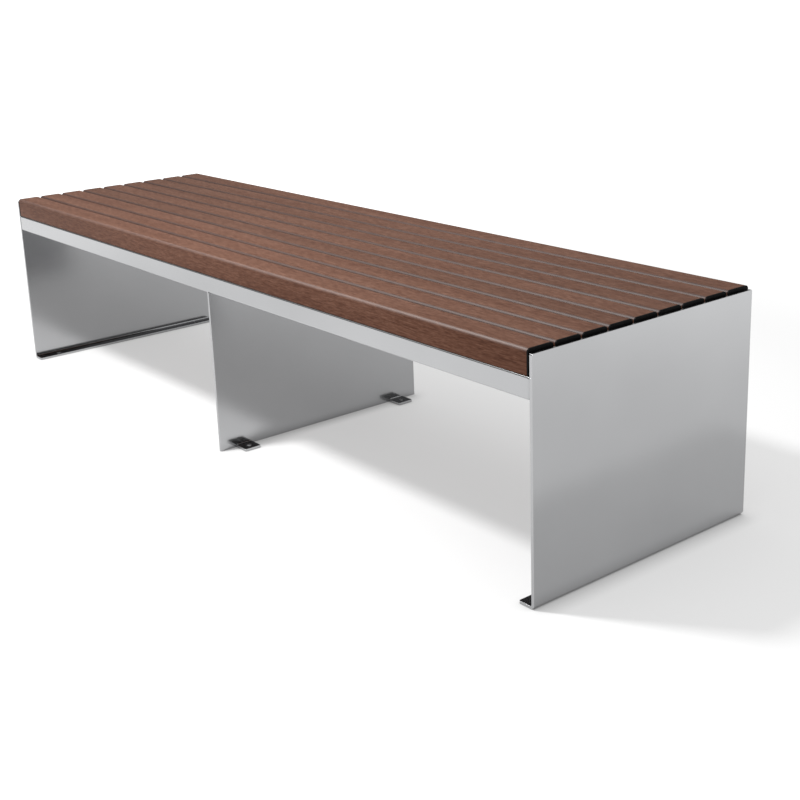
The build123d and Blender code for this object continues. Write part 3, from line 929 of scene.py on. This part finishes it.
choose(star, "EDGE", lambda edge: along(edge, 2) and points_round(edge.verts[0].co) % 2)
bpy.ops.transform.resize(value=(RECESS_WAIST, RECESS_WAIST, 1), center_override=(0, 0, -HEAD_H))
work(head, "BOOLEAN", operation="DIFFERENCE", solver="EXACT", object=star)
bpy.data.objects.remove(star)
ease_edges(head, 0.0001, 1)
shank = pin((0, 0, SHANK_LENGTH / 2), "Z", SHANK_R, SHANK_LENGTH, sides=10)
screw = as_one("slat_screw", [head, shank])
for row in ("left_end", "left_tie", "centre", "right_tie", "right_end"):
    low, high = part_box(f"slat_screws_{row}")
    x = (low.x + high.x) / 2
    copies = [copy_at(screw, "screw_copy", (x, y, low.z + HEAD_H)) for y in screw_lines]
    piece = as_one(f"slat_screws_{row}_pan", copies)
    piece.data.materials.append(fastener_steel)
    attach(piece, "root")
    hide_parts(f"slat_screws_{row}")
bpy.data.objects.remove(screw)

# ---------------------------------------------------------------- studio
# A plain white floor that runs out to a white surround, one round soft light high in front, and an
# even overhead glow. The floor shines a little by itself, more further out, with painted contact shade
# that darkens its glow under and close beside the bench.
FLOOR_SIZE = 60.0
FLOOR_SHADE = 0.44
FLOOR_GLOW = 0.46
GLOW_NEAR = 1.25
GLOW_FAR = 3.0
CONTACT_SHADE_REACH = 0.045
SKY_LOW = 0.10
SKY_MIDDLE = 0.30
SKY_POWER = 1.15

put_down()
bpy.ops.mesh.primitive_plane_add(size=FLOOR_SIZE, location=(0, 0, 0))
floor = bpy.context.object
floor.name = "studio_floor"
paper, tree, shader, spot = new_material("studio_paper")
shader.inputs["Base Color"].default_value = (FLOOR_SHADE, FLOOR_SHADE, FLOOR_SHADE, 1)
shader.inputs["Roughness"].default_value = 0.9
shader.inputs["Specular IOR Level"].default_value = 0.0
shader.inputs["Emission Strength"].default_value = 1.0
far = node(tree, "VectorMath", {0: spot}, operation="LENGTH").outputs["Value"]
far = node(
    tree, "MapRange", {"Value": far, "From Min": GLOW_NEAR, "From Max": GLOW_FAR},
    interpolation_type="SMOOTHSTEP",
)
glow = ramp(tree, far.outputs[0], (0.0, FLOOR_GLOW), (1.0, 1.0))
# Painted shade: the floor's glow is darkened close under and beside the bench
contact_shade = node(tree, "AmbientOcclusion", {"Distance": CONTACT_SHADE_REACH}, samples=8).outputs["AO"]
bounce = node(tree, "LightPath").outputs["Is Diffuse Ray"]
contact_shade = sums(tree, "MULTIPLY", contact_shade, sums(tree, "MULTIPLY_ADD", bounce, -0.5, 1.0))
glow = blend(tree, "MULTIPLY", 1.0, glow, contact_shade)
tree.links.new(glow, shader.inputs["Emission Color"])
floor.data.materials.append(paper)

world = bpy.data.worlds.new("studio_surround")
bpy.context.scene.world = world
world.use_nodes = True
tree = world.node_tree
surround = tree.nodes["Background"]
direction = node(tree, "TexCoord").outputs["Generated"]
height = node(tree, "SeparateXYZ", {0: direction}).outputs["Z"]
glow = ramp(tree, height, (0.0, SKY_LOW), (0.3, SKY_MIDDLE), (1.0, 1.0))
seen = node(tree, "LightPath").outputs["Is Camera Ray"]
tree.links.new(blend(tree, "MIX", seen, glow, (1, 1, 1, 1)), surround.inputs["Color"])
surround.inputs["Strength"].default_value = SKY_POWER

KEY_FROM = (-0.36, -1.15, 2.25)
KEY_AT = mathutils.Vector((0.1, 0, 0))
KEY_WIDTH = 0.32
KEY_POWER = 70
bpy.ops.object.light_add(type="AREA", location=KEY_FROM)
key = bpy.context.object
key.name = "key_softbox"
key.data.shape = "DISK"
key.data.size = KEY_WIDTH
key.data.energy = KEY_POWER
key.rotation_euler = (KEY_AT - key.location).to_track_quat("-Z", "Y").to_euler()

# ---------------------------------------------------------------- camera
# Stands off the right-hand front corner, above the height of the seat, and looks back along the
# bench. The lens is fairly long, so the far end does not shrink too much.
CAMERA_AT = (2.3877, -1.6282, 1.0478)
CAMERA_DIP = 16.086
CAMERA_SWING = 51.342
CAMERA_ROLL = -1.999
LENS = 58.03

bpy.ops.object.camera_add(location=CAMERA_AT)
camera = bpy.context.object
camera.name = "studio_camera"
camera.rotation_mode = "XYZ"
camera.rotation_euler = (math.radians(90 - CAMERA_DIP), 0, math.radians(CAMERA_SWING))
camera.rotation_euler.rotate_axis("Z", math.radians(CAMERA_ROLL))
camera.data.sensor_width = 36
camera.data.lens = LENS
camera.data.shift_x = -0.015
camera.data.shift_y = -0.0875
bpy.context.scene.camera = camera
bpy.context.scene.view_settings.view_transform = "Standard"
